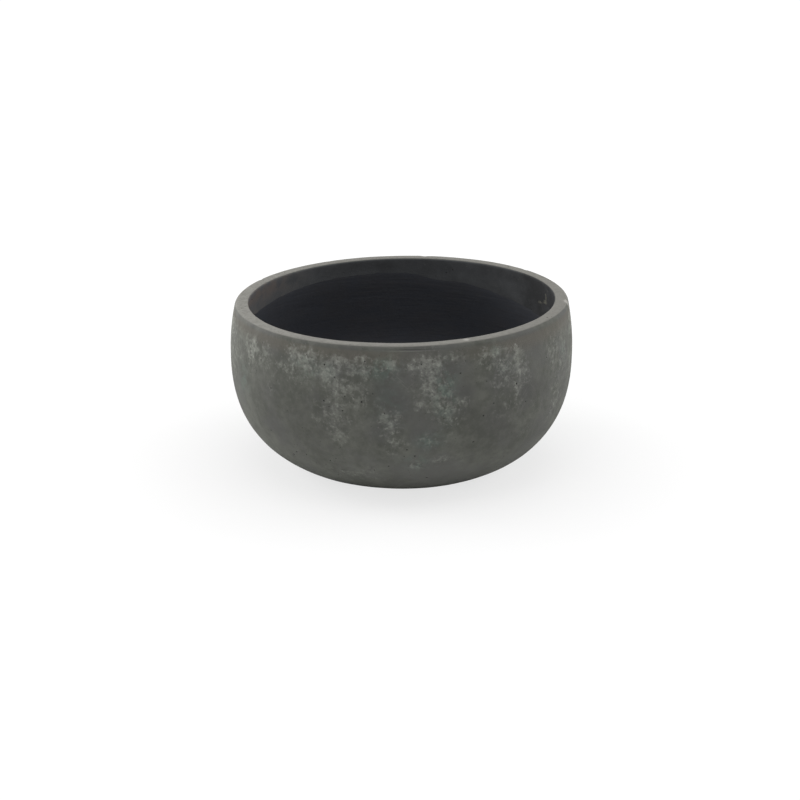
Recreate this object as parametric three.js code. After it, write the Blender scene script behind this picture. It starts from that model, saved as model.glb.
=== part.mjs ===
// Concrete bowl planter. One cast concrete bowl with a full belly, drawn in to a soft rim above and to a flat
// foot below. A black waterproof film is brushed over its inside, up to a wandering edge under the rim. Felt
// pads in the shallow recess inside the foot ring lift the foot just off the surface below.
//
// Millimetres, +Z up, -Y at the front. The origin is on the surface that the planter stands on, at its centre.
import * as THREE from "three";

// The bowl's outside. Heights are above the foot's plane.
const BOWL_DIAMETER = 310; // at the belly, the widest level
const BOWL_HEIGHT = 150; // foot to rim, at the middle of its lean
const BELLY_HEIGHT = 105;
const RIM_DIAMETER = 300; // where the wall's line meets the rim's plane, before rounding
const FOOT_DIAMETER = 186; // where the wall's line meets the foot's plane, before rounding
const BELLY_FULLNESS = 2.52; // 2 is an ellipse, and a higher number is squarer
const RIM_LEAN = 2.2; // the handmade rim is this much higher at its right and lower at its left

// The bowl's wall and hollow
const WALL_THICKNESS = 13; // from the belly up
const FLOOR_THICKNESS = 14; // above the recess
const HOLLOW_FULLNESS = 3.3; // squarer than the outside, so that the wall only swells near the foot
const RIM_OUTER_ROUNDING = 4;
const RIM_INNER_ROUNDING = 2.5;

// The bowl's underside
const FOOT_ROUNDING = 3;
const FOOT_RING_WIDTH = 17; // the flat ring that would carry the bowl without its pads
const RECESS_DEPTH = 2;
const RECESS_DRAFT = 1.5; // how far the recess narrows towards its ceiling

// The waterproof film. Its edge is high at the front and the back, low at the sides and lowest on the right.
const FILM_THICKNESS = 1.2;
const FILM_CLEARANCE = 0.3; // between the film and the faceted wall behind it
const FILM_EDGE_DEPTH = 25; // mean depth of the edge below the rim
const FILM_EDGE_SWING = 8; // from the mean, twice a turn
const FILM_EDGE_LEAN = 6; // from the mean, once a turn

// The felt pads
const PAD_COUNT = 4;
const PAD_DIAMETER = 22;
const PAD_THICKNESS = 3;
const PAD_MARGIN = 6; // from a pad to the recess's edge
const PAD_CHAMFER = 0.4;

// Smoothness
const TURN_STEPS = 72; // around the bowl
const BELOW_BELLY_STEPS = 17;
const ABOVE_BELLY_STEPS = 4;
const ROUNDING_STEPS = 4;
const PAD_TURN_STEPS = 24;

// Levels
const FOOT_Z = PAD_THICKNESS - RECESS_DEPTH;
const RECESS_Z = FOOT_Z + RECESS_DEPTH;
const FLOOR_Z = RECESS_Z + FLOOR_THICKNESS;
const BELLY_Z = FOOT_Z + BELLY_HEIGHT;
const RIM_Z = FOOT_Z + BOWL_HEIGHT;

const concrete = new THREE.MeshStandardMaterial({ color: 0x60605a, roughness: 0.9, metalness: 0 });
const film = new THREE.MeshStandardMaterial({ color: 0x242427, roughness: 0.5, metalness: 0 });
const felt = new THREE.MeshStandardMaterial({ color: 0x3b3a3a, roughness: 1, metalness: 0 });

// Half of the bowl's section, widest at the belly. Below the belly it is a superellipse that would reach the axis
// at the given depth, and above it a parabola that leans in to the rim. Both are upright where they meet.
// Level 1 is at the rim, 0 at the belly and -1 on the axis.
class BellyCurve {
  constructor(radius, depth, fullness) {
    this.radius = radius;
    this.depth = depth;
    this.fullness = fullness;
  }

  pointAt(level) {
    if (level >= 0) {
      const leanIn = ((BOWL_DIAMETER - RIM_DIAMETER) / 2) * level ** 2;
      return new THREE.Vector2(this.radius - leanIn, BELLY_Z + level * (RIM_Z - BELLY_Z));
    }
    const angle = (-level * Math.PI) / 2;
    const across = Math.max(0, Math.cos(angle)) ** (2 / this.fullness);
    const down = Math.sin(angle) ** (2 / this.fullness);
    return new THREE.Vector2(this.radius * across, BELLY_Z - this.depth * down);
  }

  levelOf(z) {
    if (z >= BELLY_Z) return (z - BELLY_Z) / (RIM_Z - BELLY_Z);
    const down = ((BELLY_Z - z) / this.depth) ** (this.fullness / 2);
    return (-2 / Math.PI) * Math.asin(Math.min(1, down));
  }

  radiusAt(z) {
    return this.pointAt(this.levelOf(z)).x;
  }

  // Points upwards from one level to another
  rising(from, to, steps) {
    return Array.from({ length: steps + 1 }, (_, i) => this.pointAt(from + ((to - from) * i) / steps));
  }
}

// The hollow's section, or that of a skin that lies this far inside it
function hollowCurve(inset) {
  const depth = BELLY_Z - FLOOR_Z - inset;
  return new BellyCurve(BOWL_DIAMETER / 2 - WALL_THICKNESS - inset, depth, HOLLOW_FULLNESS);
}

// Upward points over a quarter-round edge. The edge's plane is at edgeZ, the wall lies on the side that `wallSide`
// names (-1 below the plane, 1 above it), and the rounding draws the wall's line over by `drawIn` (1 or -1).
function roundedEdge(curve, edgeZ, wallSide, rounding, drawIn) {
  const points = [];
  for (let i = 0; i <= ROUNDING_STEPS; i++) {
    const angle = (i / ROUNDING_STEPS) * (Math.PI / 2);
    const z = edgeZ + wallSide * rounding * (1 - Math.sin(angle));
    points.push(new THREE.Vector2(curve.radiusAt(z) - drawIn * rounding * (1 - Math.cos(angle)), z));
  }
  return wallSide < 0 ? points : points.reverse();
}

function bowlProfile() {
  const footRadius = FOOT_DIAMETER / 2;
  const widest = BOWL_DIAMETER / 2;
  const reach = (1 - (footRadius / widest) ** BELLY_FULLNESS) ** (1 / BELLY_FULLNESS);
  const outside = new BellyCurve(widest, BELLY_HEIGHT / reach, BELLY_FULLNESS);
  const hollow = hollowCurve(0);
  const recessRadius = footRadius - FOOT_ROUNDING - FOOT_RING_WIDTH;

  const underside = [
    new THREE.Vector2(0, RECESS_Z),
    new THREE.Vector2(recessRadius - RECESS_DRAFT, RECESS_Z),
    new THREE.Vector2(recessRadius, FOOT_Z),
  ];
  const footEdge = roundedEdge(outside, FOOT_Z, 1, FOOT_ROUNDING, 1);
  const lowerWall = outside.rising(outside.levelOf(FOOT_Z + FOOT_ROUNDING), 0, BELOW_BELLY_STEPS);
  const upperWall = outside.rising(0, outside.levelOf(RIM_Z - RIM_OUTER_ROUNDING), ABOVE_BELLY_STEPS);
  const rimOuterEdge = roundedEdge(outside, RIM_Z, -1, RIM_OUTER_ROUNDING, 1);
  const rimInnerEdge = roundedEdge(hollow, RIM_Z, -1, RIM_INNER_ROUNDING, -1);
  const hollowUpper = hollow.rising(0, hollow.levelOf(RIM_Z - RIM_INNER_ROUNDING), ABOVE_BELLY_STEPS);
  const hollowLower = hollow.rising(-1, 0, BELOW_BELLY_STEPS);

  // Neighbouring stretches share an end, which is kept once
  return [
    ...underside,
    ...footEdge,
    ...lowerWall.slice(1),
    ...upperWall.slice(1),
    ...rimOuterEdge.slice(1),
    ...rimInnerEdge.reverse(),
    ...hollowUpper.reverse().slice(1),
    ...hollowLower.reverse().slice(1),
  ];
}

// The film's edge, by the turn from the front towards the right
function filmEdgeZ(turn) {
  const depth = FILM_EDGE_DEPTH - FILM_EDGE_SWING * Math.cos(2 * turn) + FILM_EDGE_LEAN * Math.sin(turn);
  return RIM_Z - depth;
}

function filmProfile(turn) {
  const againstWall = hollowCurve(FILM_CLEARANCE);
  const face = hollowCurve(FILM_CLEARANCE + FILM_THICKNESS);
  const edgeZ = filmEdgeZ(turn);
  const outer = againstWall.rising(-1, againstWall.levelOf(edgeZ), BELOW_BELLY_STEPS);
  const inner = face.rising(-1, face.levelOf(edgeZ), BELOW_BELLY_STEPS);
  return [...outer, ...inner.reverse()];
}

// The height of a section's point at this turn. Above the belly the handmade wall grows into the rim's lean.
function leaningHeight(point, turn) {
  const aboveBelly = Math.max(0, point.y - BELLY_Z) / (RIM_Z - BELLY_Z);
  return point.y + RIM_LEAN * aboveBelly ** 2 * Math.sin(turn);
}

// A lathe turned about +Z, whose section may differ from one turn to the next
function turned(profileAt) {
  const geometry = new THREE.LatheGeometry(profileAt(0), TURN_STEPS);
  const { position } = geometry.attributes;
  const rows = position.count / (TURN_STEPS + 1);
  for (let step = 0; step <= TURN_STEPS; step++) {
    const turn = (step / TURN_STEPS) * 2 * Math.PI;
    profileAt(turn).forEach((point, row) => {
      const height = leaningHeight(point, turn);
      position.setXYZ(step * rows + row, point.x * Math.sin(turn), height, point.x * Math.cos(turn));
    });
  }
  geometry.computeVertexNormals();
  return geometry.rotateX(Math.PI / 2);
}

function makeBowl() {
  const profile = bowlProfile();
  const bowl = new THREE.Mesh(turned(() => profile), concrete);
  bowl.name = "concrete_bowl";
  return bowl;
}

function makeFilm() {
  const coating = new THREE.Mesh(turned(filmProfile), film);
  coating.name = "waterproof_coating";
  return coating;
}

// A disc of felt, stuck to the recess's ceiling and chamfered where it meets the surface below
function makePad(number) {
  const radius = PAD_DIAMETER / 2;
  const profile = [
    new THREE.Vector2(0, 0),
    new THREE.Vector2(radius - PAD_CHAMFER, 0),
    new THREE.Vector2(radius, PAD_CHAMFER),
    new THREE.Vector2(radius, PAD_THICKNESS),
    new THREE.Vector2(0, PAD_THICKNESS),
  ];
  const geometry = new THREE.LatheGeometry(profile, PAD_TURN_STEPS).rotateX(Math.PI / 2);
  const ceilingRadius = FOOT_DIAMETER / 2 - FOOT_ROUNDING - FOOT_RING_WIDTH - RECESS_DRAFT;
  const fromAxis = ceilingRadius - PAD_MARGIN - radius;
  const turn = ((number - 0.5) / PAD_COUNT) * 2 * Math.PI;
  const pad = new THREE.Mesh(geometry, felt);
  pad.position.set(fromAxis * Math.cos(turn), fromAxis * Math.sin(turn), 0);
  pad.name = `base_pad_${number}`;
  return pad;
}

const planter = new THREE.Group();
planter.add(makeBowl(), makeFilm());
for (let number = 1; number <= PAD_COUNT; number++) planter.add(makePad(number));

export default planter;
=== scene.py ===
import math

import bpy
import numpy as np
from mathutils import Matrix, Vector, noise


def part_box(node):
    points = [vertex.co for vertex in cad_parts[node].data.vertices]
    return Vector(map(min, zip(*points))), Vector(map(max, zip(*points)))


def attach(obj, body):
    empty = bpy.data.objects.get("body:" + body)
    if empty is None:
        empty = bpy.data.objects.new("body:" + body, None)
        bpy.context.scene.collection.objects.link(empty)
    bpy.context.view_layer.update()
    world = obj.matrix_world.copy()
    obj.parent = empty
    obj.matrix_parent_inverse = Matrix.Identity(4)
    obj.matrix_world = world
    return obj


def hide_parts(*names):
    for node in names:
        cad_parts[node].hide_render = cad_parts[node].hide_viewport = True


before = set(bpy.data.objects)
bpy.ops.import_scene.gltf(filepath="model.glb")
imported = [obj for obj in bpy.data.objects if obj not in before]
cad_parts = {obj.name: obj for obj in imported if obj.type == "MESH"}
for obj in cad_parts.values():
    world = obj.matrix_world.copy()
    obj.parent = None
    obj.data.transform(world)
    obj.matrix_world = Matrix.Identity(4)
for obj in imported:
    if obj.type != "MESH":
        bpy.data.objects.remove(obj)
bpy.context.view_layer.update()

# A round planter of cast concrete. The bowl has a full belly, a soft rim drawn in above it and a flat foot.
# A black waterproof film is brushed over its inside, and four felt pads keep its foot off the table.
#
# Everything is worked out in millimetres and turned into metres when a mesh is made. A turn is an angle
# round the bowl in degrees, from the front (-Y) towards the right (+X).

MM = 0.001


def node_box(name):
    """A CAD node's lowest and highest corners, in mm."""
    return [np.array(corner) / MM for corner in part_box(name)]


# ---- Sizes, the CAD model's unless a comment says otherwise ----

BOWL_LOW, BOWL_HIGH = node_box("concrete_bowl")
BELLY_HEIGHT = 105  # above the foot
RIM_LEAN = 2.2  # the rim is this much higher at its right and lower at its left
RIM_DRAWN_IN = 5
FOOT_RADIUS = 93
BELLY_FULLNESS = 2.52  # 2 is an ellipse, and a higher number is squarer
HOLLOW_FULLNESS = 3.3
WALL = 13
FLOOR_THICKNESS = 14
RIM_OUTER_ROUNDING = 3.4  # tighter than the CAD model's, because the wavering surface rounds it off too
RIM_INNER_ROUNDING = 2.5
FOOT_ROUNDING = 3
FOOT_RING = 17
RECESS_DEPTH = 2
RECESS_DRAFT = 1.5
RECESS_ROUNDING = 0.4  # the CAD model's recess has plain corners

# The handmade surface lies back from the mould's true form by up to this much, in broad swells and small ones
SWELL_DEPTH = 0.5
SWELL_SIZE = 58
WAVER_DEPTH = 0.16
WAVER_SIZE = 15

BELLY_RADIUS = (BOWL_HIGH[0] - BOWL_LOW[0]) / 2
FOOT_Z = BOWL_LOW[2]
BELLY_Z = FOOT_Z + BELLY_HEIGHT
RIM_Z = BOWL_HIGH[2] - RIM_LEAN
RECESS_Z = FOOT_Z + RECESS_DEPTH
FLOOR_Z = RECESS_Z + FLOOR_THICKNESS

# The film's edge, by its depth below the rim
EDGE_DEPTH = 25
EDGE_SWING = 8  # twice a turn
EDGE_LEAN = 6  # once a turn
EDGE_HAIRS = 1.1  # how much the brush's hairs fray it
EDGE_LAPS = (  # where a brush stroke went higher or lower: turn, half width in degrees, how much deeper
    (178, 8, -1.2),
    (190, 8, -0.8),
    (165.5, 6, 2.8),
    (210, 8, -1.1),
    (250, 12, 2.2),
    (95, 6, -1.6),
    (60, 9, 1.8),
    (20, 7, -1.5),
    (335, 6, 2.1),
    (300, 7, -1.8),
)
FILM_THICKNESS = 0.9  # the CAD model's plain film is a little thicker
FILM_EDGE_THICKNESS = 0.12
FILM_BUILD_UP = 14  # from the thin edge to the full thickness
FILM_RIDGES = 0.12  # how deep the brush's strokes are in it
FILM_ROOT = 0.07  # how far the film's edge runs on into the wall
FILM_RUN_OUT = 0.8  # how much of the edge is hidden in the wall that way

PAD_CORNER = 0.7  # rubbed round, where the CAD model has a chamfer
PAD_FUZZ = 0.32  # how deep the dips between its fibres are
PAD_DENTS = 0.1  # how deep its broader dents are
PAD_EDGE = 0.3  # over this height the fuzz goes, where it is stuck on or rests on something

# ---- Marks on the bowl, placed by turn and height ----

# Chalky bloom on the front: turn, height, half width and half height in mm, strength
BLOOM = (
    (-58, 128, 9, 13, 1.0), (-50, 128, 5, 9, 0.5), (-34, 140, 10, 6, 2.0), (-32, 130, 9, 9, 0.6),
    (-41, 123, 8, 7, 0.45), (-24, 127, 10, 9, 0.5), (-21, 109, 7, 10, 0.3), (-21, 86, 8, 15, 0.7),
    (-21, 67, 6, 7, 0.55), (-27, 84, 6, 8, 0.35), (-13, 141, 4, 4, 0.9), (-12, 131, 8, 9, 0.6),
    (-17, 117, 8, 7, 0.55), (-13, 109, 7, 9, 0.4), (-6, 135, 10, 8, 0.45), (-3, 138, 4, 3, 0.9),
    (-2, 145, 6, 3, 0.4), (9, 139, 9, 8, 1.6), (9, 126, 5, 11, 0.7), (9, 111, 4, 9, 0.5),
    (14, 115, 7, 13, 0.4), (11, 104, 7, 9, 0.4), (15, 89, 8, 11, 0.5), (6, 100, 6, 6, 0.35),
    (18, 141, 6, 5, 0.6), (20, 99, 5, 5, 0.35), (-4, 84, 9, 11, 0.6), (-3, 73, 7, 7, 0.5),
    (-1, 62, 5, 5, 0.65), (9, 66, 10, 7, 0.55), (5, 42, 4, 4, 0.45), (14, 46, 8, 2.5, 0.65),
    (8, 41, 11, 5, 0.35), (-20, 28, 15, 4, 0.5), (-11, 34, 7, 4, 0.45), (-7, 23, 9, 3, 0.35),
    (28, 138, 7, 8, 0.55), (33, 140, 6, 6, 0.5), (40, 138, 5, 6, 0.9), (36, 128, 10, 9, 0.6),
    (42, 119, 7, 9, 0.6), (40, 106, 3, 10, 0.4), (32, 112, 6, 7, 0.4), (62, 72, 9, 22, 0.45),
    (58, 123, 7, 9, 0.45), (68, 116, 7, 15, 0.4), (47, 61, 9, 7, 0.25), (40, 42, 10, 7, 0.25),
    (-20, 137, 6, 5, 0.9), (3, 136, 4, 4, 0.7), (-50, 131, 6, 6, 0.7), (-38, 123, 6, 6, 0.5),
    (-3, 58, 6, 6, 0.5),
)
# Where the cement is darker on the front, in the same terms as all the lists of patches below
DARKER = (
    (32, 79, 15, 13, 0.9), (21, 103, 7, 13, 0.8), (-5, 109, 11, 8, 0.7), (0, 99, 10, 8, 0.6),
    (-49, 99, 13, 10, 0.5), (-33, 83, 10, 10, 0.4), (45, 101, 10, 9, 0.8), (-4, 125, 6, 5, 0.5),
    (-12, 112, 5, 6, 0.5), (10, 112, 5, 6, 0.4), (-39, 78, 8, 8, 0.4),
)
# Where it has a green cast
GREENISH = (
    (-32, 128, 11, 9, 0.8), (-24, 126, 8, 8, 0.4), (-6, 133, 12, 9, 0.9), (14, 112, 9, 22, 0.9),
    (9, 66, 12, 8, 0.6), (5, 44, 12, 7, 0.6), (-64, 96, 9, 12, 0.7), (68, 118, 7, 9, 0.5),
    (32, 140, 7, 6, 0.5), (36, 124, 9, 7, 0.3), (-12, 130, 7, 7, 0.4), (-4, 100, 14, 20, 0.3),
)
# Where it is scratched
SCRATCHED = (
    (37, 127, 15, 17, 1.0), (-24, 120, 12, 14, 0.35), (1, 121, 8, 8, 0.55), (14, 102, 12, 20, 0.45),
    (-18, 29, 20, 6, 0.7), (12, 46, 12, 4, 0.7), (44, 104, 10, 14, 0.5),
)
# Nicks in the rim: turn, radius, height below the rim, how far across, how deep, how fresh and white
CHIPS = (
    (84, 149.3, 1.4, 4.0, 1.2, 1.25),
    (22.5, 143, 0.2, 3.0, 0.35, 1.1),
    (-27, 149, 1.2, 2.0, 0.6, 0.15),
    (14, 148.8, 0.8, 1.6, 0.5, 0.1),
    (-71, 149, 1.2, 2.2, 0.7, 0.1),
    (128, 149, 1.2, 2.2, 0.7, 0.2),
    (171, 148.8, 1.0, 2.8, 0.9, 0.15),
    (-118, 149.2, 1.5, 2.4, 0.8, 0.6),
    (-152, 149, 1.0, 1.8, 0.5, 0.1),
    (-96, 138.6, 1.0, 1.8, 0.4, 0.1),
)
# Pale rubs on the bare inside wall. The L-shaped mark near turn 110, on the right, is a painted highlight.
INSIDE_RUBS_AND_HIGHLIGHT = (
    (107.8, 137, 2.2, 4.8, 1.0), (109.5, 132, 5, 2, 1.0), (114, 129.3, 5, 2, 0.9), (112, 121, 2, 2, 0.6),
    (153, 143, 5, 2, 0.25), (-128, 141, 7, 2, 0.25), (-35, 140, 8, 2, 0.3), (20, 138, 3, 4, 0.3),
)
# Air holes that show dark on the front: turn, height, radius
PINHOLES = (
    (-13, 102, 1.0), (-25, 100, 0.8), (-18, 106, 0.7), (-19, 93, 0.8), (-23, 94, 0.6), (-25, 131, 0.9),
    (-12, 139, 0.8), (-22, 122, 0.7), (6, 135, 0.7), (-5, 92, 0.6), (-9, 109, 0.6), (31, 96, 0.7),
    (19, 125, 0.7), (44, 88, 0.6), (-47, 99, 0.7), (2, 58, 0.8),
)
# How many more there are by chance, on which stretch of the section
STREWN_PINHOLES = (("wall", 190), ("rim", 26), ("bare band", 26), ("foot ring", 16), ("recess", 30))
PINHOLE_SEED = 5
PINHOLE_UNEVENNESS = (0.75, 1.25)
PINHOLE_DEPTH = 0.9  # in radii
PINHOLE_LEAST = 0.35  # the radius of the smallest that is strewn
PINHOLE_MORE = 0.8  # how much larger the largest is
PINHOLE_RARITY = 2.5  # 1 is even, and a higher number makes large ones rarer

BLOOM_SPREAD = 1.2  # how much further than listed a patch reaches, where it is broken up

# A thin level mark that the mould left under the rim: its height, and the patch where it shows
MOULD_LINE_Z = 147.4
LINED = ((3, MOULD_LINE_Z, 17, 4, 1),)

# Past this turn, on either side, the bloom is strewn at random in the same way
BACK_FROM_TURN = 74
BACK_PATCHES = 96
BACK_SEED = 11
BACK_TOP = 143  # the highest and the lowest middle of a patch
BACK_BOTTOM = 31
BACK_CROWDING = 1.7  # 1 is even, and a higher number crowds the patches towards the top
BACK_HALF_WIDTHS = (3, 12)
BACK_TALLNESS = (0.6, 2.2)
BACK_STRENGTHS = (0.15, 0.62)

# ---- Steps of the meshes ----

BOWL_TURNS = 400
FILM_TURNS = 520
FILM_ROWS = 96
PAD_TURNS = 110
PAD_BOTTOM_STEPS = 14
PAD_CORNER_STEPS = 5
PAD_SIDE_STEPS = 7
PAD_TOP_STEPS = 5
CEILING_STEPS = 24  # from the axis to the recess's edge
RECESS_EDGE_STEPS = 2
FOOT_RING_STEPS = 9
CORNER_STEPS = 7
LOWER_WALL_STEPS = 78
UPPER_WALL_STEPS = 21
RIM_CORNER_STEPS = 9
RIM_TOP_STEPS = 4
UPPER_HOLLOW_STEPS = 22
LOWER_HOLLOW_STEPS = 26

# Where the foot's flat ring begins and ends along the bowl's section, and where the top of the rim begins
RING_ROW = CEILING_STEPS + 3 * RECESS_EDGE_STEPS
FOOT_ROW = RING_ROW + FOOT_RING_STEPS
RIM_ROW = FOOT_ROW + CORNER_STEPS + LOWER_WALL_STEPS + UPPER_WALL_STEPS + RIM_CORNER_STEPS


# ---- Shapes ----


class BellyCurve:
    """Half of a section that is widest at the belly. Level 1 is the rim, 0 the belly and -1 the axis."""

    def __init__(self, radius, depth, fullness):
        self.radius = radius
        self.depth = depth
        self.fullness = fullness

    def points(self, levels):
        levels = np.asarray(levels, float)
        angle = -np.minimum(levels, 0) * math.pi / 2
        below = self.radius * np.maximum(np.cos(angle), 0) ** (2 / self.fullness)
        drop = self.depth * np.sin(angle) ** (2 / self.fullness)
        above = np.maximum(levels, 0)
        radius = below - RIM_DRAWN_IN * above**2
        return np.stack([radius, BELLY_Z - drop + above * (RIM_Z - BELLY_Z)], axis=-1)

    def level_of(self, z):
        z = np.asarray(z, float)
        drop = (np.maximum(BELLY_Z - z, 0) / self.depth) ** (self.fullness / 2)
        below = -2 / math.pi * np.arcsin(np.minimum(drop, 1))
        return np.where(z >= BELLY_Z, (z - BELLY_Z) / (RIM_Z - BELLY_Z), below)

    def radius_at(self, z):
        return self.points(self.level_of(z))[..., 0]


def outside_curve():
    reach = (1 - (FOOT_RADIUS / BELLY_RADIUS) ** BELLY_FULLNESS) ** (1 / BELLY_FULLNESS)
    return BellyCurve(BELLY_RADIUS, (BELLY_Z - FOOT_Z) / reach, BELLY_FULLNESS)


def hollow_curve(inset=0.0):
    return BellyCurve(BELLY_RADIUS - WALL - inset, BELLY_Z - FLOOR_Z - inset, HOLLOW_FULLNESS)


def rounded_edge(curve, edge_z, wall_side, rounding, draw_in, steps):
    """Upward points over a quarter-round edge, whose wall lies above (1) or below (-1) the edge's plane."""
    angle = np.linspace(0, math.pi / 2, steps + 1)
    z = edge_z + wall_side * rounding * (1 - np.sin(angle))
    radius = curve.radius_at(z) - draw_in * rounding * (1 - np.cos(angle))
    points = np.stack([radius, z], axis=-1)
    return points if wall_side < 0 else points[::-1]


def line(start, end, steps):
    return np.linspace(start, end, steps + 1)


def joined(*stretches):
    """Stretches of a section in one row of points. Neighbours share an end, which is kept once."""
    return np.concatenate([stretches[0]] + [stretch[1:] for stretch in stretches[1:]])


def bowl_section():
    """The bowl's section from the middle of its underside round to the middle of its hollow's floor."""
    outside, hollow = outside_curve(), hollow_curve()
    recess_edge = FOOT_RADIUS - FOOT_ROUNDING - FOOT_RING
    ceiling_edge = recess_edge - RECESS_DRAFT
    soft = RECESS_ROUNDING
    foot_corner = rounded_edge(outside, FOOT_Z, 1, FOOT_ROUNDING, 1, CORNER_STEPS)
    rim_corner = rounded_edge(outside, RIM_Z, -1, RIM_OUTER_ROUNDING, 1, RIM_CORNER_STEPS)
    inner_corner = rounded_edge(hollow, RIM_Z, -1, RIM_INNER_ROUNDING, -1, CORNER_STEPS)[::-1]
    wall_foot = outside.level_of(FOOT_Z + FOOT_ROUNDING)
    wall_top = outside.level_of(RIM_Z - RIM_OUTER_ROUNDING)
    hollow_top = hollow.level_of(RIM_Z - RIM_INNER_ROUNDING)
    return joined(
        line((0, RECESS_Z), (ceiling_edge - soft, RECESS_Z), CEILING_STEPS),
        line((ceiling_edge - soft, RECESS_Z), (ceiling_edge + soft, RECESS_Z - soft), RECESS_EDGE_STEPS),
        line((ceiling_edge + soft, RECESS_Z - soft), (recess_edge - soft, FOOT_Z + soft), RECESS_EDGE_STEPS),
        line((recess_edge - soft, FOOT_Z + soft), (recess_edge + soft, FOOT_Z), RECESS_EDGE_STEPS),
        line((recess_edge + soft, FOOT_Z), foot_corner[0], FOOT_RING_STEPS),
        foot_corner,
        outside.points(line(wall_foot, 0, LOWER_WALL_STEPS)),
        outside.points(line(0, wall_top, UPPER_WALL_STEPS)),
        rim_corner,
        line(rim_corner[-1], inner_corner[0], RIM_TOP_STEPS),
        inner_corner,
        hollow.points(line(hollow_top, 0, UPPER_HOLLOW_STEPS)),
        hollow.points(line(0, -1, LOWER_HOLLOW_STEPS)),
    )


def section_normals(section):
    """Which way the surface faces along a section, to the right of the way that its points run."""
    along = np.gradient(section, axis=-2)
    normals = np.stack([along[..., 1], -along[..., 0]], axis=-1)
    return normals / np.linalg.norm(normals, axis=-1, keepdims=True)


def even_turns(count):
    return np.arange(count) * 360 / count


def turned(section, turns):
    """Places round the axis, by turn and row. A section is one for all turns, or one for each."""
    angle = np.radians(turns)[:, None]
    radius, z = section[..., 0], section[..., 1]
    return np.stack(np.broadcast_arrays(radius * np.sin(angle), -radius * np.cos(angle), z), axis=-1)


def relief(places, size, octaves=1, field=0):
    """Smooth bumps between 0 and 1 at these places, each about `size` mm across. Every field has its own."""
    flat = (places + field).reshape(-1, 3) / size
    height = np.zeros(len(flat))
    for octave in range(octaves):
        scale = 2.0**octave
        height += np.fromiter((noise.noise(Vector(p * scale)) for p in flat), float, len(flat)) / scale
    return np.clip(0.5 + 0.5 * height, 0, 1).reshape(places.shape[:-1])


def eased(value, low, high):
    """0 up to `low` and 1 from `high` on, with a smooth rise between them. With the two swapped it falls."""
    t = np.clip((value - low) / (high - low), 0, 1)
    return t * t * (3 - 2 * t)


def turn_gap(turns, turn):
    """How far round each turn is from this one, in degrees, the short way."""
    return (turns - turn + 180) % 360 - 180


def leaning(places):
    """The places, with the handmade wall above the belly grown into the rim's lean."""
    above = np.maximum(places[..., 2] - BELLY_Z, 0) / (RIM_Z - BELLY_Z)
    side = places[..., 0] / np.maximum(np.hypot(places[..., 0], places[..., 1]), 1e-6)
    leant = places.copy()
    leant[..., 2] += RIM_LEAN * above**2 * side
    return leant


def wall_waver(places):
    """How far the handmade surface lies back from the mould's true form."""
    return SWELL_DEPTH * relief(places, SWELL_SIZE) + WAVER_DEPTH * relief(places, WAVER_SIZE, 2, field=200)


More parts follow.
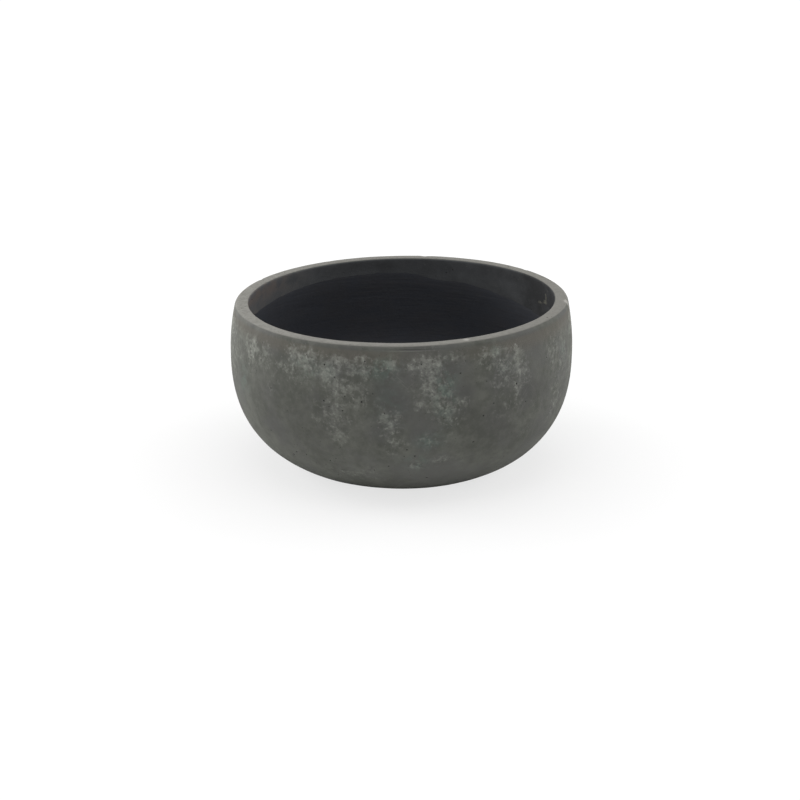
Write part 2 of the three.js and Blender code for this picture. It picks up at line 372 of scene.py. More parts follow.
class TurnedMesh:
    """A closed turned mesh from places by turn and row. Its first and last rows are points on the axis. Masks
    are numbers by turn and row that its material reads."""

    # An air hole reaches this share of the way to the next vertices at most. A ring in its wall has these
    # shares of its radius and of its depth.
    hole_reach = 0.82
    hole_ring_radius = 0.72
    hole_ring_depth = 0.7

    def __init__(self, places, masks=None):
        self.turns, self.rows = places.shape[:2]
        self.vertices = places.reshape(-1, 3).tolist()
        self.masks = {name: values.reshape(-1).tolist() for name, values in (masks or {}).items()}
        self.cells = np.ones((self.turns, self.rows - 1), bool)
        self.extra_faces = []
        self.sharp = set()

    def number(self, turn, row):
        return (turn % self.turns) * self.rows + row

    def add(self, place, like, **masks):
        """A new vertex with the masks of another, apart from those given."""
        self.vertices.append(list(place))
        for name, values in self.masks.items():
            values.append(masks.get(name, values[like]))
        return len(self.vertices) - 1

    def sink_pinhole(self, turn, row, facing, radius, depth, uneven):
        """Sinks an air hole at a vertex, within the four faces round it, if there is room for it."""
        block = np.ix_([(turn - 1) % self.turns, turn % self.turns], [row - 1, row])
        if not 2 <= row <= self.rows - 3 or not self.cells[block].all():
            return
        self.cells[block] = False
        steps = ((-1, -1), (0, -1), (1, -1), (1, 0), (1, 1), (0, 1), (-1, 1), (-1, 0))
        around = [self.number(turn + i, row + j) for i, j in steps]
        floor = self.number(turn, row)
        middle = np.array(self.vertices[floor])
        lip, ring = [], []
        for vertex, stretch in zip(around, uneven):
            out = np.array(self.vertices[vertex]) - middle
            out *= min(self.hole_reach, radius * stretch / np.linalg.norm(out))
            down = self.hole_ring_depth * depth * facing
            lip.append(self.add(middle + out, floor, pit=0.4))
            ring.append(self.add(middle + self.hole_ring_radius * out - down, floor, pit=1.0))
        self.vertices[floor] = list(middle - depth * facing)
        self.masks["pit"][floor] = 1.0
        for k in range(len(steps)):
            n = (k + 1) % len(steps)
            self.extra_faces += [
                (around[k], around[n], lip[n], lip[k]),
                (lip[k], lip[n], ring[n], ring[k]),
                (ring[k], ring[n], floor),
            ]
        self.sharp.update(lip)

    def faces(self):
        faces = []
        for turn, row in zip(*np.nonzero(self.cells)):
            here, beside = self.number(turn, row), self.number(turn + 1, row)
            next_here, next_beside = self.number(turn, row + 1), self.number(turn + 1, row + 1)
            if row == 0:
                faces.append((self.number(0, 0), next_beside, next_here))
            elif row == self.rows - 2:
                faces.append((here, beside, self.number(0, self.rows - 1)))
            else:
                faces.append((here, beside, next_beside, next_here))
        return faces + self.extra_faces

    def piece(self, name, material):
        faces = self.faces()
        used = np.unique(np.concatenate([np.array(face) for face in faces]))
        new_number = np.zeros(len(self.vertices), int)
        new_number[used] = np.arange(len(used))
        mesh = bpy.data.meshes.new(name)
        kept = np.array(self.vertices)[used] * MM
        mesh.from_pydata(kept.tolist(), [], [new_number[list(face)].tolist() for face in faces])
        for label, values in self.masks.items():
            values = np.array(values, np.float32)[used]
            mesh.attributes.new(label, "FLOAT", "POINT").data.foreach_set("value", values)
        mesh.polygons.foreach_set("use_smooth", np.ones(len(mesh.polygons), bool))
        if self.sharp:
            on_lip = np.zeros(len(self.vertices), bool)
            on_lip[list(self.sharp)] = True
            ends = np.zeros(2 * len(mesh.edges), int)
            mesh.edges.foreach_get("vertices", ends)
            edges = on_lip[used][ends.reshape(-1, 2)].all(axis=1)
            mesh.attributes.new("sharp_edge", "BOOLEAN", "EDGE").data.foreach_set("value", edges)
        mesh.materials.append(material)
        mesh.update()
        piece = bpy.data.objects.new(name, mesh)
        bpy.context.collection.objects.link(piece)
        return piece


# ---- Materials ----


class Value:
    """An output of a material's nodes. Arithmetic on it adds the Math nodes that work it out."""

    def __init__(self, paint, socket):
        self.paint = paint
        self.socket = socket

    def math(self, operation, *terms):
        return self.paint.node("Math", {"operation": operation}, dict(enumerate(terms)))

    def __add__(self, other):
        return self.math("ADD", self, other)

    __radd__ = __add__

    def __sub__(self, other):
        return self.math("SUBTRACT", self, other)

    def __rsub__(self, other):
        return self.math("SUBTRACT", other, self)

    def __mul__(self, other):
        return self.math("MULTIPLY", self, other)

    __rmul__ = __mul__

    def most(self, other):
        return self.math("MAXIMUM", self, other)


def pick(sockets, key):
    """A socket by its number, name or identifier."""
    if isinstance(key, int):
        return sockets[key]
    return next(socket for socket in sockets if key in (socket.identifier, socket.name))


class Paint:
    """The nodes of one material, or of the world."""

    def __init__(self, owner):
        owner.use_nodes = True
        self.owner = owner
        self.tree = owner.node_tree
        self.tree.nodes.clear()

    def node(self, kind, settings=None, inputs=None, output=0):
        """Adds a node, with its settings first and then the values or links of its sockets."""
        node = self.tree.nodes.new("ShaderNode" + kind)
        for name, setting in (settings or {}).items():
            setattr(node, name, setting)
        for key, value in (inputs or {}).items():
            socket = pick(node.inputs, key)
            if isinstance(value, Value):
                self.tree.links.new(value.socket, socket)
            else:
                socket.default_value = value
        return Value(self, pick(node.outputs, output)) if node.outputs else None

    def place(self):
        """The place on the object, in mm."""
        metres = self.node("TexCoord", output="Object")
        return self.stretched(metres, 1 / MM, 1 / MM, 1 / MM)

    def stretched(self, vector, x, y, z):
        return self.node("VectorMath", {"operation": "MULTIPLY"}, {0: vector, 1: (x, y, z)})

    def along(self, vector, direction):
        """How far the place lies along a direction."""
        settings = {"operation": "DOT_PRODUCT"}
        return self.node("VectorMath", settings, {0: vector, 1: direction}, output="Value")

    def noise(self, vector, size, detail=2.0, roughness=0.5):
        inputs = {"Vector": vector, "Scale": 1 / size, "Detail": detail, "Roughness": roughness}
        return self.node("TexNoise", {}, inputs)

    def cells(self, vector, size, output="Distance"):
        return self.node("TexVoronoi", {}, {"Vector": vector, "Scale": 1 / size}, output)

    def wander(self, vector, size, far):
        """A small shift in every direction, to make round things uneven."""
        inputs = {"Vector": vector, "Scale": 1 / size, "Detail": 1.0}
        shift = self.node("TexNoise", {}, inputs, "Color")
        centred = self.node("VectorMath", {"operation": "SUBTRACT"}, {0: shift, 1: (0.5, 0.5, 0.5)})
        return self.stretched(centred, 2 * far, 2 * far, 2 * far)

    def eased(self, value, low, high, to_low=0.0, to_high=1.0):
        inputs = {"Value": value, "From Min": low, "From Max": high, "To Min": to_low, "To Max": to_high}
        return self.node("MapRange", {"interpolation_type": "SMOOTHSTEP"}, inputs)

    def mask(self, name):
        return self.node("Attribute", {"attribute_name": name}, output="Fac")

    def blend(self, factor, colour, other, way="MIX"):
        inputs = {"Factor_Float": factor, "A_Color": colour, "B_Color": other}
        settings = {"data_type": "RGBA", "blend_type": way}
        return self.node("Mix", settings, inputs, "Result_Color")

    def strokes(self, vector, direction, across, length, width):
        """Noise drawn out along a direction into strokes of about this length and width."""
        along, aside = self.along(vector, direction) * (1 / length), self.along(vector, across) * (1 / width)
        return self.noise(self.node("CombineXYZ", {}, {"X": along, "Y": aside}), 1)

    def finish(self, surface):
        """Ends in a Principled surface with these inputs. Relief is a height in mm."""
        inputs = dict(surface)
        height = inputs.pop("relief")
        inputs["Normal"] = self.node("Bump", {}, {"Distance": MM, "Height": height})
        shader = self.node("BsdfPrincipled", {}, inputs)
        self.node("OutputMaterial", {}, {"Surface": shader})
        return self.owner


def grey(level):
    return (level, level, level, 1)


CEMENT_DARK = (0.08, 0.083, 0.071, 1)
CEMENT_LIGHT = (0.128, 0.131, 0.114, 1)
CHALK = (0.335, 0.343, 0.308, 1)
GREEN_CAST = (0.095, 0.15, 0.125, 1)
GREY_CAST = (0.1, 0.1, 0.096, 1)
DARK_CAST = (0.072, 0.072, 0.069, 1)
BROWN_CAST = (0.12, 0.11, 0.09, 1)
# The rim's tones below are partly wear and partly painted top light
RIM_GREY = (0.222, 0.215, 0.194, 1)
RIM_PALE = (0.3, 0.294, 0.268, 1)
RIM_SMUDGE = (0.195, 0.19, 0.172, 1)
FRESH_BREAK = (0.4, 0.39, 0.36, 1)
INSIDE_DARK = (0.03, 0.0305, 0.032, 1)
INSIDE_PALE = (0.118, 0.124, 0.13, 1)
INSIDE_BROWN = (0.16, 0.128, 0.11, 1)
INSIDE_CRUMBS = grey(0.12)
# Pale rubs, and a painted highlight on the right inside wall
INSIDE_RUB_AND_HIGHLIGHT = (0.15, 0.146, 0.12, 1)
# Painted shade for air holes and the mould line's groove
PAINTED_HOLE_SHADE = (0.03, 0.03, 0.028, 1)
UNDERSIDE = (0.17, 0.168, 0.15, 1)
UNDERSIDE_DARK = (0.13, 0.13, 0.118, 1)
COATING = (0.046, 0.05, 0.06, 1)
COATING_DUSTY = (0.049, 0.05, 0.056, 1)
COATING_THIN = (0.052, 0.054, 0.057, 1)
COATING_DUST = grey(0.09)
FELT = (0.03, 0.029, 0.029, 1)
FELT_LIGHT = (0.085, 0.082, 0.08, 1)


class Concrete(Paint):
    """The cast concrete's nodes, with the noises that its layers share."""

    def __init__(self):
        super().__init__(bpy.data.materials.new("cast_concrete"))
        self.spot = self.place()
        self.cloud = self.noise(self.spot, 30, 4, 0.6)
        self.mottle = self.noise(self.spot, 8, 5, 0.65)
        self.crumb = self.noise(self.spot, 2.6, 4, 0.68)
        self.sand = self.noise(self.spot, 0.8, 2, 0.6)

    def cement(self):
        """The paste in clouds, with its casts."""
        cloudy = self.eased(self.cloud * 0.55 + self.mottle * 0.45, 0.36, 0.64)
        colour = self.blend(cloudy, CEMENT_DARK, CEMENT_LIGHT)
        greyer = self.eased(self.noise(self.spot, 46, 3, 0.6), 0.42, 0.62)
        colour = self.blend(greyer * 0.7, colour, GREY_CAST)
        colour = self.blend(self.mask("darker") * 0.7, colour, DARK_CAST)
        colour = self.blend(self.mask("brown") * 0.6, colour, BROWN_CAST)
        greenish = self.mask("greenish") * self.eased(self.mottle, 0.38, 0.6)
        return self.blend(greenish * 0.6, colour, GREEN_CAST)

    def bloom(self):
        """How much chalk there is, in a thin haze of bloom, broken crusts in it, drips, flecks, and dust that
        is partly painted light. Also how dark the gaps between the crusts are."""
        bloom = self.mask("bloom")
        gate = self.eased(bloom, 0.02, 0.35)
        drip = self.noise(self.stretched(self.spot, 1, 1, 0.11), 2.4, 3, 0.6)
        haze = self.eased(bloom + (self.cloud - 0.5) * 0.8 + (drip - 0.5) * 0.9, 0.15, 1.1) * gate
        clot = self.noise(self.spot, 4.6, 2, 0.55)
        crumbly = (clot - 0.5) * 2.6 + (self.mottle - 0.5) * 1.3 + (self.crumb - 0.5) * 1.2
        powder = self.eased(self.noise(self.spot, 1.6, 3, 0.6), 0.4, 0.68)
        crust = self.eased(bloom * 0.9 + crumbly, 0.32, 1.2) * gate * (powder * 0.17 + 0.26)
        fleck = self.eased(self.noise(self.spot, 3.1) + bloom * 0.1, 0.62, 0.73)
        fleck = fleck * self.eased(bloom, 0.05, 0.5)
        gap = self.eased(crumbly, -0.08, -0.42) * gate
        return haze * 0.12 + crust + fleck * 0.29 + self.mask("dust_and_painted_light") * 0.19, gap

    def scratches(self):
        """Level ones, and two leaning ways that cross."""
        level = self.strokes(self.spot, (0.75, 0.66, 0), (0, 0, 1), 15, 1.1)
        rising = self.strokes(self.spot, (0.5, 0.44, 0.75), (-0.56, -0.5, 0.66), 15, 1.0)
        falling = self.strokes(self.spot, (0.5, 0.44, -0.75), (0.56, 0.5, 0.66), 15, 1.0)
        return self.eased(level.most(rising).most(falling), 0.61, 0.72) * self.mask("scratched")

    def mould_line(self):
        """The thin level mark under the rim: a groove, and a ridge below it, which get painted shade and a
        painted highlight.
        """
        height_above = self.along(self.spot, (0, 0, 1)) + (self.mottle - 0.5) * 0.8 - MOULD_LINE_Z
        lined = self.mask("lined")
        groove = self.eased(height_above, 0.1, 0.5) * self.eased(height_above, 1.3, 0.9) * lined
        ridge = self.eased(height_above, -1.2, -0.8) * self.eased(height_above, 0.1, -0.3) * lined
        return groove, ridge

    def worn_and_top_lit_rim(self, colour, rim):
        """The rim, worn pale and painted with top light."""
        worn = self.eased(rim + (self.mottle - 0.5) * 0.5 + (self.crumb - 0.5) * 0.3, 0.05, 0.9)
        tone = self.blend(self.mask("pale_rim"), RIM_GREY, RIM_PALE)
        smudge = self.eased(self.crumb * 0.5 + self.mottle * 0.5, 0.42, 0.6)
        tone = self.blend(smudge * 0.7, tone, RIM_SMUDGE)
        return self.blend(worn * 0.94, colour, tone)

    def washed_inside(self, colour):
        """The bare inside wall above the film, washed dark, with a rub or two and a painted highlight."""
        stain = self.noise(self.spot, 15, 3, 0.55)
        wash = self.blend(self.mask("inside_paleness") + (stain - 0.5) * 0.7, INSIDE_DARK, INSIDE_PALE)
        wash = self.blend(self.eased(stain, 0.34, 0.6) * self.mask("brown") * 0.75, wash, INSIDE_BROWN)
        crumbs = self.eased(self.crumb * 0.6 + self.mottle * 0.4, 0.5, 0.66)
        wash = self.blend(crumbs * 0.22, wash, INSIDE_CRUMBS)
        colour = self.blend(self.mask("inside"), colour, wash)
        # Pale rubs, and a painted highlight on the right
        rubbed = self.mask("rubs_and_highlight") + (self.crumb - 0.5) * 1.5 + (self.mottle - 0.5)
        return self.blend(self.eased(rubbed, 0.3, 0.95), colour, INSIDE_RUB_AND_HIGHLIGHT)

    def small_pinholes(self):
        """Uneven air holes too small to be sunk in the mesh, in some regions only. Their dark is painted
        shade.
        """
        uneven = {0: self.spot, 1: self.wander(self.spot, 1.3, 0.5)}
        crooked = self.node("VectorMath", {"operation": "ADD"}, uneven)
        holes = self.eased(self.cells(crooked, 3.1), 0.07, 0.13, 1, 0)
        return holes * self.eased(self.noise(self.spot, 14), 0.48, 0.58)


def concrete_material():
    mix = Concrete()
    rim = mix.mask("rim")
    chalk, gap = mix.bloom()
    scratch = mix.scratches()
    groove, ridge = mix.mould_line()
    small = mix.small_pinholes()

    colour = mix.cement()
    colour = mix.blend(chalk, colour, CHALK)
    colour = mix.blend(gap * 0.42, colour, CEMENT_DARK)
    colour = mix.blend(scratch * 0.34, colour, CHALK)
    # The groove painted dark and the ridge pale: painted shade and a painted highlight
    colour = mix.blend(groove * 0.4, colour, PAINTED_HOLE_SHADE)
    colour = mix.blend(ridge * 0.26, colour, CHALK)
    # The rim, worn pale and painted with top light
    colour = mix.worn_and_top_lit_rim(colour, rim)
    colour = mix.washed_inside(colour)
    fresh = mix.mask("chipped") + (mix.crumb - 0.5) * 1.6 + (mix.sand - 0.5) * 0.4
    colour = mix.blend(mix.eased(fresh, 0.3, 0.7), colour, FRESH_BREAK)

    # The underside, as it came off the mould
    plain = mix.blend(mix.eased(mix.mottle, 0.35, 0.65), UNDERSIDE, UNDERSIDE_DARK)
    colour = mix.blend(mix.mask("underside"), colour, plain)

    # Sand grains and air holes
    grain = mix.eased(mix.cells(mix.spot, 1.5, output="Color"), 0.1, 0.9)
    grainy = (mix.sand - 0.5) * 0.4 + (grain - 0.5) * 0.09 + 0.5
    colour = mix.blend(grainy, colour, grey(0.5), "OVERLAY")
    # Air holes painted dark: painted shade in them
    colour = mix.blend(small * 0.6, colour, PAINTED_HOLE_SHADE)
    colour = mix.blend(mix.eased(mix.mask("pit"), 0.3, 0.9) * 0.85, colour, PAINTED_HOLE_SHADE)

    height = mix.sand * 0.12 + mix.crumb * 0.16 + mix.mottle * 0.2 + chalk * 0.1
    height = height - small * 0.35 - scratch * 0.05 + (ridge - groove) * 0.25
    return mix.finish(
        {
            "Base Color": colour,
            "Roughness": mix.eased(chalk + mix.mottle * 0.4, 0.1, 0.9, 0.82, 0.95) - rim * 0.08,
            "Specular IOR Level": 0.35,
            "relief": height,
        }
    )


def coating_material():
    mix = Paint(bpy.data.materials.new("brushed_waterproof_film"))
    place = mix.place()
    edge = mix.mask("edge")
    broad = mix.noise(place, 26, 3, 0.55)
    fine = mix.noise(place, 1.6, 3, 0.6)
    brush = mix.noise(mix.stretched(place, 0.05, 0.05, 1), 1.5, 3, 0.6)
    thin = mix.eased(edge + (brush - 0.5) * 0.8 + (fine - 0.5) * 0.4, 0.4, 1.1)
    colour = mix.blend(mix.eased(broad * 0.5 + brush * 0.5, 0.35, 0.65), COATING, COATING_DUSTY)
    colour = mix.blend(thin * 0.2, colour, COATING_THIN)
    dust = mix.eased(mix.cells(place, 2.3), 0.08, 0.13, 1, 0) * mix.eased(mix.noise(place, 21), 0.52, 0.66)
    colour = mix.blend(dust * 0.35, colour, COATING_DUST)
    return mix.finish(
        {
            "Base Color": colour,
            "Roughness": mix.eased(brush * 0.6 + fine * 0.4, 0.35, 0.65, 0.46, 0.62),
            "Specular IOR Level": 0.27,
            "relief": brush * 0.14 + fine * 0.05 + broad * 0.3,
        }
    )


def felt_material():
    mix = Paint(bpy.data.materials.new("pressed_felt"))
    place = mix.place()
    fibre = mix.noise(mix.stretched(place, 1, 0.25, 1), 0.35, 4, 0.7)
    crossing = mix.noise(mix.stretched(place, 0.25, 1, 1), 0.35, 4, 0.7)
    lumps = mix.noise(place, 2.2, 3, 0.6)
    weave = fibre.most(crossing)
    colour = mix.blend(mix.eased(weave * 0.7 + lumps * 0.3, 0.4, 0.7), FELT, FELT_LIGHT)
    return mix.finish(
        {
            "Base Color": colour,
            "Roughness": mix.eased(lumps, 0.3, 0.7, 0.93, 1.0),
            "Sheen Weight": 0.3,
            "Sheen Roughness": 0.6,
            "relief": weave * 0.3 + lumps * 0.2,
        }
    )


# ---- The pieces ----


def back_bloom():
    """Patches of bloom for the sides and the back, most of them in the upper half as on the front."""
    draw = np.random.default_rng(BACK_SEED)
    made = []
    for _ in range(BACK_PATCHES):
        turn = draw.uniform(BACK_FROM_TURN, 360 - BACK_FROM_TURN)
        height = BACK_TOP - (BACK_TOP - BACK_BOTTOM) * draw.uniform() ** BACK_CROWDING
        half_width = draw.uniform(*BACK_HALF_WIDTHS)
        half_height = draw.uniform(*BACK_TALLNESS) * half_width
        made.append((turn, height, half_width, half_height, draw.uniform(*BACK_STRENGTHS)))
    return made


class BowlMarks:
    """The masks that the concrete's material reads, by turn and row of the bowl's true form."""

    def __init__(self, section, turns):
        self.places = turned(section, turns)
        parts = (turns[:, None], section[:, 0], section[:, 1], section_normals(section)[:, 1])
        self.angle, self.radius, self.z, self.upward = np.broadcast_arrays(*parts)
        rows = np.arange(len(section))
        self.is_inside = rows >= RIM_ROW + RIM_TOP_STEPS
        self.is_under = rows <= FOOT_ROW
        self.outer = ~self.is_inside & ~self.is_under
        self.below_rim = RIM_Z - self.z
        self.below_band = eased(self.below_rim, 5, 13)  # under the rim there is a band with little bloom
        self.from_front = np.abs(turn_gap(self.angle, 0))
        self.at_left = self.near(-80, 75, 25)
        self.at_right = self.near(90, 60, 25)
        self.at_back = self.near(180, 60, 25)

    def near(self, turn, gone, full):
        """1 within `full` degrees of this turn, and 0 from `gone` degrees on."""
        return eased(np.abs(turn_gap(self.angle, turn)), gone, full)

    def patches(self, listed, spread=1.0):
        """How much of a mark each place takes, from 0 to 1, by the listed patches of it."""
        bare = np.ones(self.z.shape)
        for turn, height, half_width, half_height, strength in listed:
            across = np.radians(turn_gap(self.angle, turn)) * self.radius / (spread * half_width)
            up = (self.z - height) / (spread * half_height)
            bare *= 1 - strength * np.exp(-(across**2) - up**2)
        return 1 - bare

    def bloom(self):
        """Patches broken up by noise, in a thin veil that is thicker at the left edge, where it is partly
        painted side light.
        """
        listed = self.patches(BLOOM + tuple(back_bloom()), BLOOM_SPREAD)
        broken = listed * (0.45 + 1.1 * relief(self.places, 13, 2, field=140))
        veil = 0.3 * relief(self.places, 34, 2, field=77) * (0.4 + 0.6 * eased(self.z, 50, 100))
        # Thicker at the left edge, partly as painted side light
        veil = veil + 0.3 * self.near(-84, 24, 6) * eased(self.z, 70, 105)
        fainter_below = 0.7 + 0.3 * eased(self.z, 80, 115)
        return np.clip(broken * fainter_below + veil, 0, 1) * (0.35 + 0.65 * self.below_band)

    def dust_and_painted_light(self):
        # Paler towards the foot and at the sides: partly dust, partly painted bounce light and side light
        at_foot = eased(self.z, 66, 26) * (0.35 + 0.65 * relief(self.places, 26, 2, field=310))
        at_sides = 0.4 * eased(self.from_front, 44, 68) * self.below_band
        return np.maximum(at_foot, at_sides)

    def rim(self):
        """Worn pale on top, with painted top light as it follows how far the surface faces up. The outer
        corner is pale at the sides too, and stays dark at the front.
        """
        to_side = eased(self.from_front, 58, 95)
        worn_from = 0.76 - 0.3 * to_side - 0.18 * self.at_left
        corner = eased(self.upward, worn_from, 1.0 - 0.12 * to_side) * (self.below_rim < 12)
        below = (0.16 * to_side + 0.26 * self.at_left) * eased(self.below_rim, 12, 2)
        outside = np.maximum(corner, below)
        return np.where(self.is_inside, eased(self.upward, 0.5, 0.95), outside) * ~self.is_under

    # Paler at the left, and darker at the right and the back
    def pale_rim(self):
        return np.clip(0.42 + 0.58 * self.at_left - 0.2 * self.at_right - 0.25 * self.at_back, 0, 1)

    def inside_paleness(self):
        """How pale the bare inside wall is: paler on the left and lower down, and darker on the right."""
        pale = 0.53 + 0.2 * self.at_left - 0.6 * self.near(100, 34, 9) * eased(self.below_rim, 24, 14)
        pale = pale + 0.3 * self.at_left * eased(self.below_rim, 14, 3)
        pale = pale - 0.22 * self.near(125, 30, 10) + 0.16 * eased(self.below_rim, 7, 17)
        pale = pale - 0.36 * self.near(106, 26, 14) * eased(self.below_rim, 13, 21)
        return np.clip(pale, 0, 1)

    def brown(self):
        inside = self.near(-98, 48, 14) * (0.5 + 0.5 * eased(self.below_rim, 20, 8))
        outside = eased(self.below_rim, 20, 9) * eased(self.below_rim, 3, 6)
        outside = outside * (0.4 + 0.6 * eased(self.angle, 12, 40))
        return np.where(self.is_inside, inside, outside)

    def masks(self, chipped):
        bare_wall = eased(self.upward, 0.9 + 0.08 * self.at_right, 0.35 + 0.3 * self.at_right)
        round_foot = eased(self.z, FOOT_Z + 2.5, FOOT_Z) * self.outer
        return {
            "bloom": self.bloom() * self.outer,
            "dust_and_painted_light": self.dust_and_painted_light() * self.outer,
            "darker": self.patches(DARKER, BLOOM_SPREAD) * self.outer,
            "greenish": self.patches(GREENISH) * self.outer,
            "scratched": self.patches(SCRATCHED) * self.outer,
            "rim": self.rim(),
            "pale_rim": self.pale_rim(),
            "inside": bare_wall * self.is_inside,
            "inside_paleness": self.inside_paleness() * self.is_inside,
            "underside": np.where(self.is_under, 1.0, round_foot),
            "brown": self.brown(),
            "lined": self.patches(LINED) * self.outer,
            "rubs_and_highlight": self.patches(INSIDE_RUBS_AND_HIGHLIGHT) * self.is_inside,
            "chipped": chipped,
            "pit": np.zeros(self.z.shape),
        }


def chips(places):
    """How deep the nicks in the rim are at each place, and how fresh and white."""
    crumbled = 0.7 + 0.6 * relief(places, 2.5)
    depth, fresh = np.zeros(crumbled.shape), np.zeros(crumbled.shape)
    for turn, radius, below, size, deep, white in CHIPS:
        spot = turned(np.array([radius, RIM_Z - below]), np.array([turn]))[0]
        away = np.linalg.norm(places - spot, axis=-1) / size
        bite = np.exp(-(away**2) * crumbled)
        depth = depth + deep * bite
        fresh = np.maximum(fresh, white * bite)
    return depth, fresh


def sink_pinholes(body, section, facing):
    """Sinks the air holes that the photograph shows, and more by chance all over."""
    turns = len(facing)
    # The rows of each stretch that holes may lie on, clear of its ends
    stretches = {
        "wall": (FOOT_ROW + 3, RIM_ROW - 13),
        "rim": (RIM_ROW - 2, RIM_ROW + RIM_TOP_STEPS),
        "bare band": (RIM_ROW + 14, RIM_ROW + 28),
        "foot ring": (RING_ROW + 1, FOOT_ROW - 1),
        "recess": (9, CEILING_STEPS),
    }
    draw = np.random.default_rng(PINHOLE_SEED)

    def sink(turn, row, radius):
        uneven = draw.uniform(*PINHOLE_UNEVENNESS, 8)
        body.sink_pinhole(turn, row, facing[turn, row], radius, PINHOLE_DEPTH * radius, uneven)

    wall = np.arange(*stretches["wall"])
    for turn, height, radius in PINHOLES:
        row = wall[np.argmin(np.abs(section[wall, 1] - height))]
        sink(round(turn * turns / 360) % turns, int(row), radius)
    for stretch, count in STREWN_PINHOLES:
        for _ in range(count):
            turn, row = int(draw.integers(turns)), int(draw.integers(*stretches[stretch]))
            sink(turn, row, PINHOLE_LEAST + PINHOLE_MORE * draw.uniform() ** PINHOLE_RARITY)


def make_bowl():
    section = bowl_section()
    turns = even_turns(BOWL_TURNS)
    marks = BowlMarks(section, turns)
    facing = turned(section_normals(section), turns)
    bitten, fresh = chips(marks.places)
    set_back = wall_waver(marks.places) + bitten
    body = TurnedMesh(leaning(marks.places - facing * set_back[..., None]), marks.masks(fresh))
    sink_pinholes(body, section, facing)
    return body.piece("bowl_body", concrete_material())


def film_edge_z(turns):
    """The height of the film's edge at each turn."""
    angle = np.radians(turns)
    depth = EDGE_DEPTH - EDGE_SWING * np.cos(2 * angle) + EDGE_LEAN * np.sin(angle)
    for turn, half_width, deeper in EDGE_LAPS:
        depth = depth + deeper * np.exp(-((turn_gap(turns, turn) / half_width) ** 2))
    round_edge = turned(np.array([BELLY_RADIUS - WALL, 0.0]), turns)[..., 0, :]
    hairs = relief(round_edge, 13, 2) + 0.4 * relief(round_edge, 3.2, field=50)
    return RIM_Z - depth + FILM_RUN_OUT - EDGE_HAIRS * (hairs - hairs.mean())


def make_film():
    turns = even_turns(FILM_TURNS)
    hollow = hollow_curve()
    edge_z = film_edge_z(turns)
    up_the_wall = np.linspace(0, 1, FILM_ROWS) ** 0.8  # the rows lie a little closer together near the edge
    wall = hollow.points(-1 + (hollow.level_of(edge_z)[:, None] + 1) * up_the_wall)
    wall_places, facing = turned(wall, turns), turned(-section_normals(wall), turns)
    back = wall_waver(wall_places)

    below_edge = edge_z[:, None] - wall[..., 1]
    build_up = eased(below_edge, 0, FILM_BUILD_UP) ** 0.6
    ridges = relief(wall_places * np.array([0.07, 0.07, 1]), 2.2, 2)
    thickness = FILM_EDGE_THICKNESS + (FILM_THICKNESS - FILM_EDGE_THICKNESS) * build_up
    thickness = (thickness - FILM_RIDGES * ridges) * eased(below_edge, 0, 3)
    thickness = thickness - FILM_ROOT * eased(below_edge, 1.5 * FILM_RUN_OUT, 0)
    face = leaning(wall_places + facing * (thickness - back)[..., None])
    behind = leaning(wall_places - facing * (back + 2 * FILM_ROOT)[..., None])
    places = np.concatenate([behind, face[:, ::-1]], axis=1)
    edge = eased(below_edge, 3.5, 0)
    masks = {"edge": np.concatenate([edge, edge[:, ::-1]], axis=1)}
    return TurnedMesh(places, masks).piece("brushed_film", coating_material())


def make_pad(number, material):
    """A disc of felt, softly rounded at its rubbed lower edge and fuzzy all round."""
    low, high = node_box(f"base_pad_{number}")
    radius, top = (high[0] - low[0]) / 2, high[2]
    middle = (low + high) / 2
    angle = line(0, math.pi / 2, PAD_CORNER_STEPS)
    across, up = radius - PAD_CORNER + PAD_CORNER * np.sin(angle), PAD_CORNER - PAD_CORNER * np.cos(angle)
    round_edge = np.stack([across, up], axis=-1)
    section = joined(
        line((0, 0), round_edge[0], PAD_BOTTOM_STEPS),
        round_edge,
        line(round_edge[-1], (radius, top), PAD_SIDE_STEPS),
        line((radius, top), (0, top), PAD_TOP_STEPS),
    )
    turns = even_turns(PAD_TURNS)
    places = turned(section, turns) + np.array([middle[0], middle[1], 0])
    facing = turned(section_normals(section), turns)
    fuzz = PAD_FUZZ * relief(places, 1.4, 2) + PAD_DENTS * relief(places, 5, field=30)
    below_glue = eased(top - places[..., 2], 0, PAD_EDGE)
    above_table = eased(places[..., 2], 0, PAD_EDGE)
    shrink = fuzz * below_glue * (0.3 + 0.7 * above_table)
    return TurnedMesh(places - facing * shrink[..., None]).piece(f"felt_pad_{number}", material)


bowl = make_bowl()
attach(bowl, "root")
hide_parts("concrete_bowl")

film = make_film()
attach(film, "root")
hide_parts("waterproof_coating")

felt = felt_material()
for number in range(1, 5):
    pad = make_pad(number, felt)
    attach(pad, "root")
    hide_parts(f"base_pad_{number}")


# ---- The table, the light and the camera ----

CAMERA_RISE = math.radians(18.64)
CAMERA_DISTANCE = 2.0  # in metres
CAMERA_AIM = Vector((-1.25, 0, 53.1)) * MM
CAMERA_LENS = 98.2
CAMERA_SENSOR = 36

AMBIENT = 0.38  # the world's light on the object, where 1 would light a white surface white

# In metres and watts
TABLE_HALF = 4.0
TABLE_SHADE = 0.86  # of the table in the light
TABLE_GLOW = 1.06  # of the plain white that covers it for the camera
SHADOW_FROM = 0.12  # from the bowl's axis, the soft shadow fades out between these two
SHADOW_TO = 0.4
SHADOW_HIDDEN = 0.68  # how much of the shadow plain white covers even close to the bowl
LAMPS_AIM = Vector((0, 0, 0.08))
LAMPS = (  # soft boxes: name, place, width and height, power
    ("top_soft_box", (0.05, -0.15, 1.5), (1.5, 1.2), 8.0),
    ("left_soft_box", (-1.35, 0.45, 0.4), (0.7, 1.2), 14.0),
    ("right_soft_box", (1.35, 0.45, 0.4), (0.7, 1.2), 9.8),
    ("front_soft_box", (-0.1, -1.7, 0.2), (1.6, 0.4), 3.6),
)


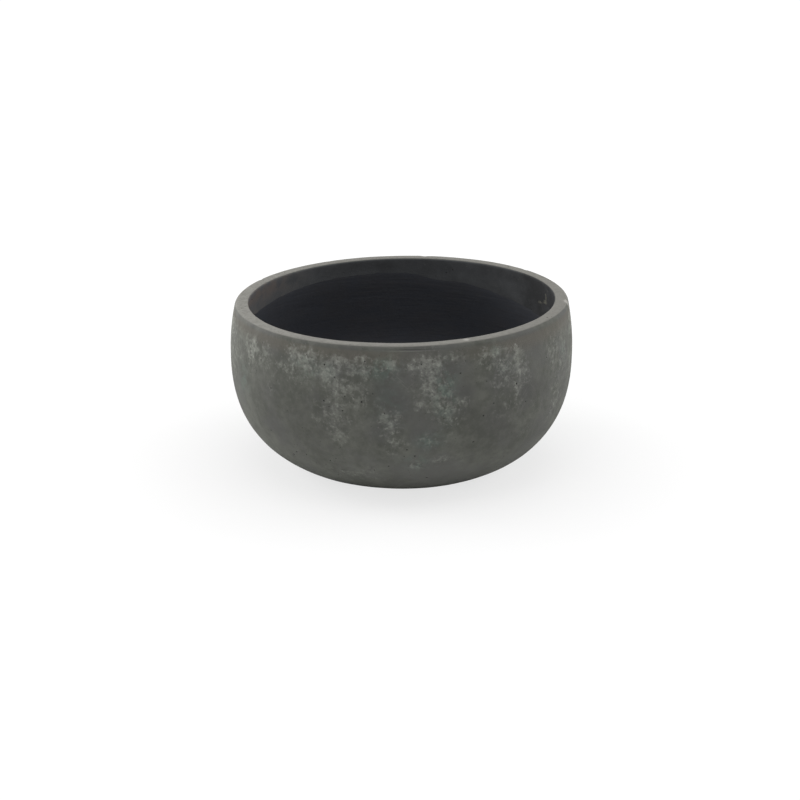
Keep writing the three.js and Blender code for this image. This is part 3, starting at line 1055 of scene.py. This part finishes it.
def make_table():
    corners = [(x * TABLE_HALF, y * TABLE_HALF, 0) for x, y in ((-1, -1), (1, -1), (1, 1), (-1, 1))]
    mesh = bpy.data.meshes.new("table")
    mesh.from_pydata(corners, [], [(0, 1, 2, 3)])
    table = bpy.data.objects.new("table", mesh)
    bpy.context.collection.objects.link(table)
    mix = Paint(bpy.data.materials.new("pale_table"))
    metres = mix.node("TexCoord", output="Object")
    away = mix.node("VectorMath", {"operation": "LENGTH"}, {0: metres}, output="Value")
    seen = mix.node("LightPath", output="Is Camera Ray")
    cover = mix.eased(away, SHADOW_FROM, SHADOW_TO, SHADOW_HIDDEN, 1.0)
    lit = mix.node("BsdfDiffuse", {}, {"Color": grey(TABLE_SHADE)})
    white = mix.node("Emission", {}, {"Color": grey(1.0), "Strength": TABLE_GLOW})
    surface = mix.node("MixShader", {}, {0: seen * cover, 1: lit, 2: white})
    mix.node("OutputMaterial", {}, {"Surface": surface})
    mesh.materials.append(mix.owner)


def make_world():
    world = bpy.data.worlds.new("white_surroundings")
    bpy.context.scene.world = world
    mix = Paint(world)
    camera, glossy, through = (
        mix.node("LightPath", output=f"Is {kind} Ray") for kind in ("Camera", "Glossy", "Transmission")
    )
    seen = camera.most(glossy).most(through)
    strength = seen * (1 - AMBIENT) + AMBIENT
    light = mix.node("Background", {}, {"Color": grey(1.0), "Strength": strength})
    mix.node("OutputWorld", {}, {"Surface": light})


def make_lamp(name, place, size, power):
    """A soft box that faces the bowl."""
    lamp = bpy.data.lights.new(name, "AREA")
    lamp.shape = "RECTANGLE"
    lamp.size, lamp.size_y = size
    lamp.energy = power
    holder = bpy.data.objects.new(name, lamp)
    holder.location = place
    holder.rotation_euler = (LAMPS_AIM - Vector(place)).to_track_quat("-Z", "Y").to_euler()
    holder.visible_camera = False
    bpy.context.collection.objects.link(holder)


def make_camera():
    camera = bpy.data.cameras.new("camera")
    camera.lens = CAMERA_LENS
    camera.sensor_width = CAMERA_SENSOR
    holder = bpy.data.objects.new("camera", camera)
    back = Vector((0, -math.cos(CAMERA_RISE), math.sin(CAMERA_RISE)))
    holder.location = CAMERA_AIM + back * CAMERA_DISTANCE
    holder.rotation_euler = (-back).to_track_quat("-Z", "Y").to_euler()
    bpy.context.collection.objects.link(holder)
    bpy.context.scene.camera = holder


make_table()
make_world()
for lamp in LAMPS:
    make_lamp(*lamp)
make_camera()
bpy.context.scene.view_settings.view_transform = "Standard"
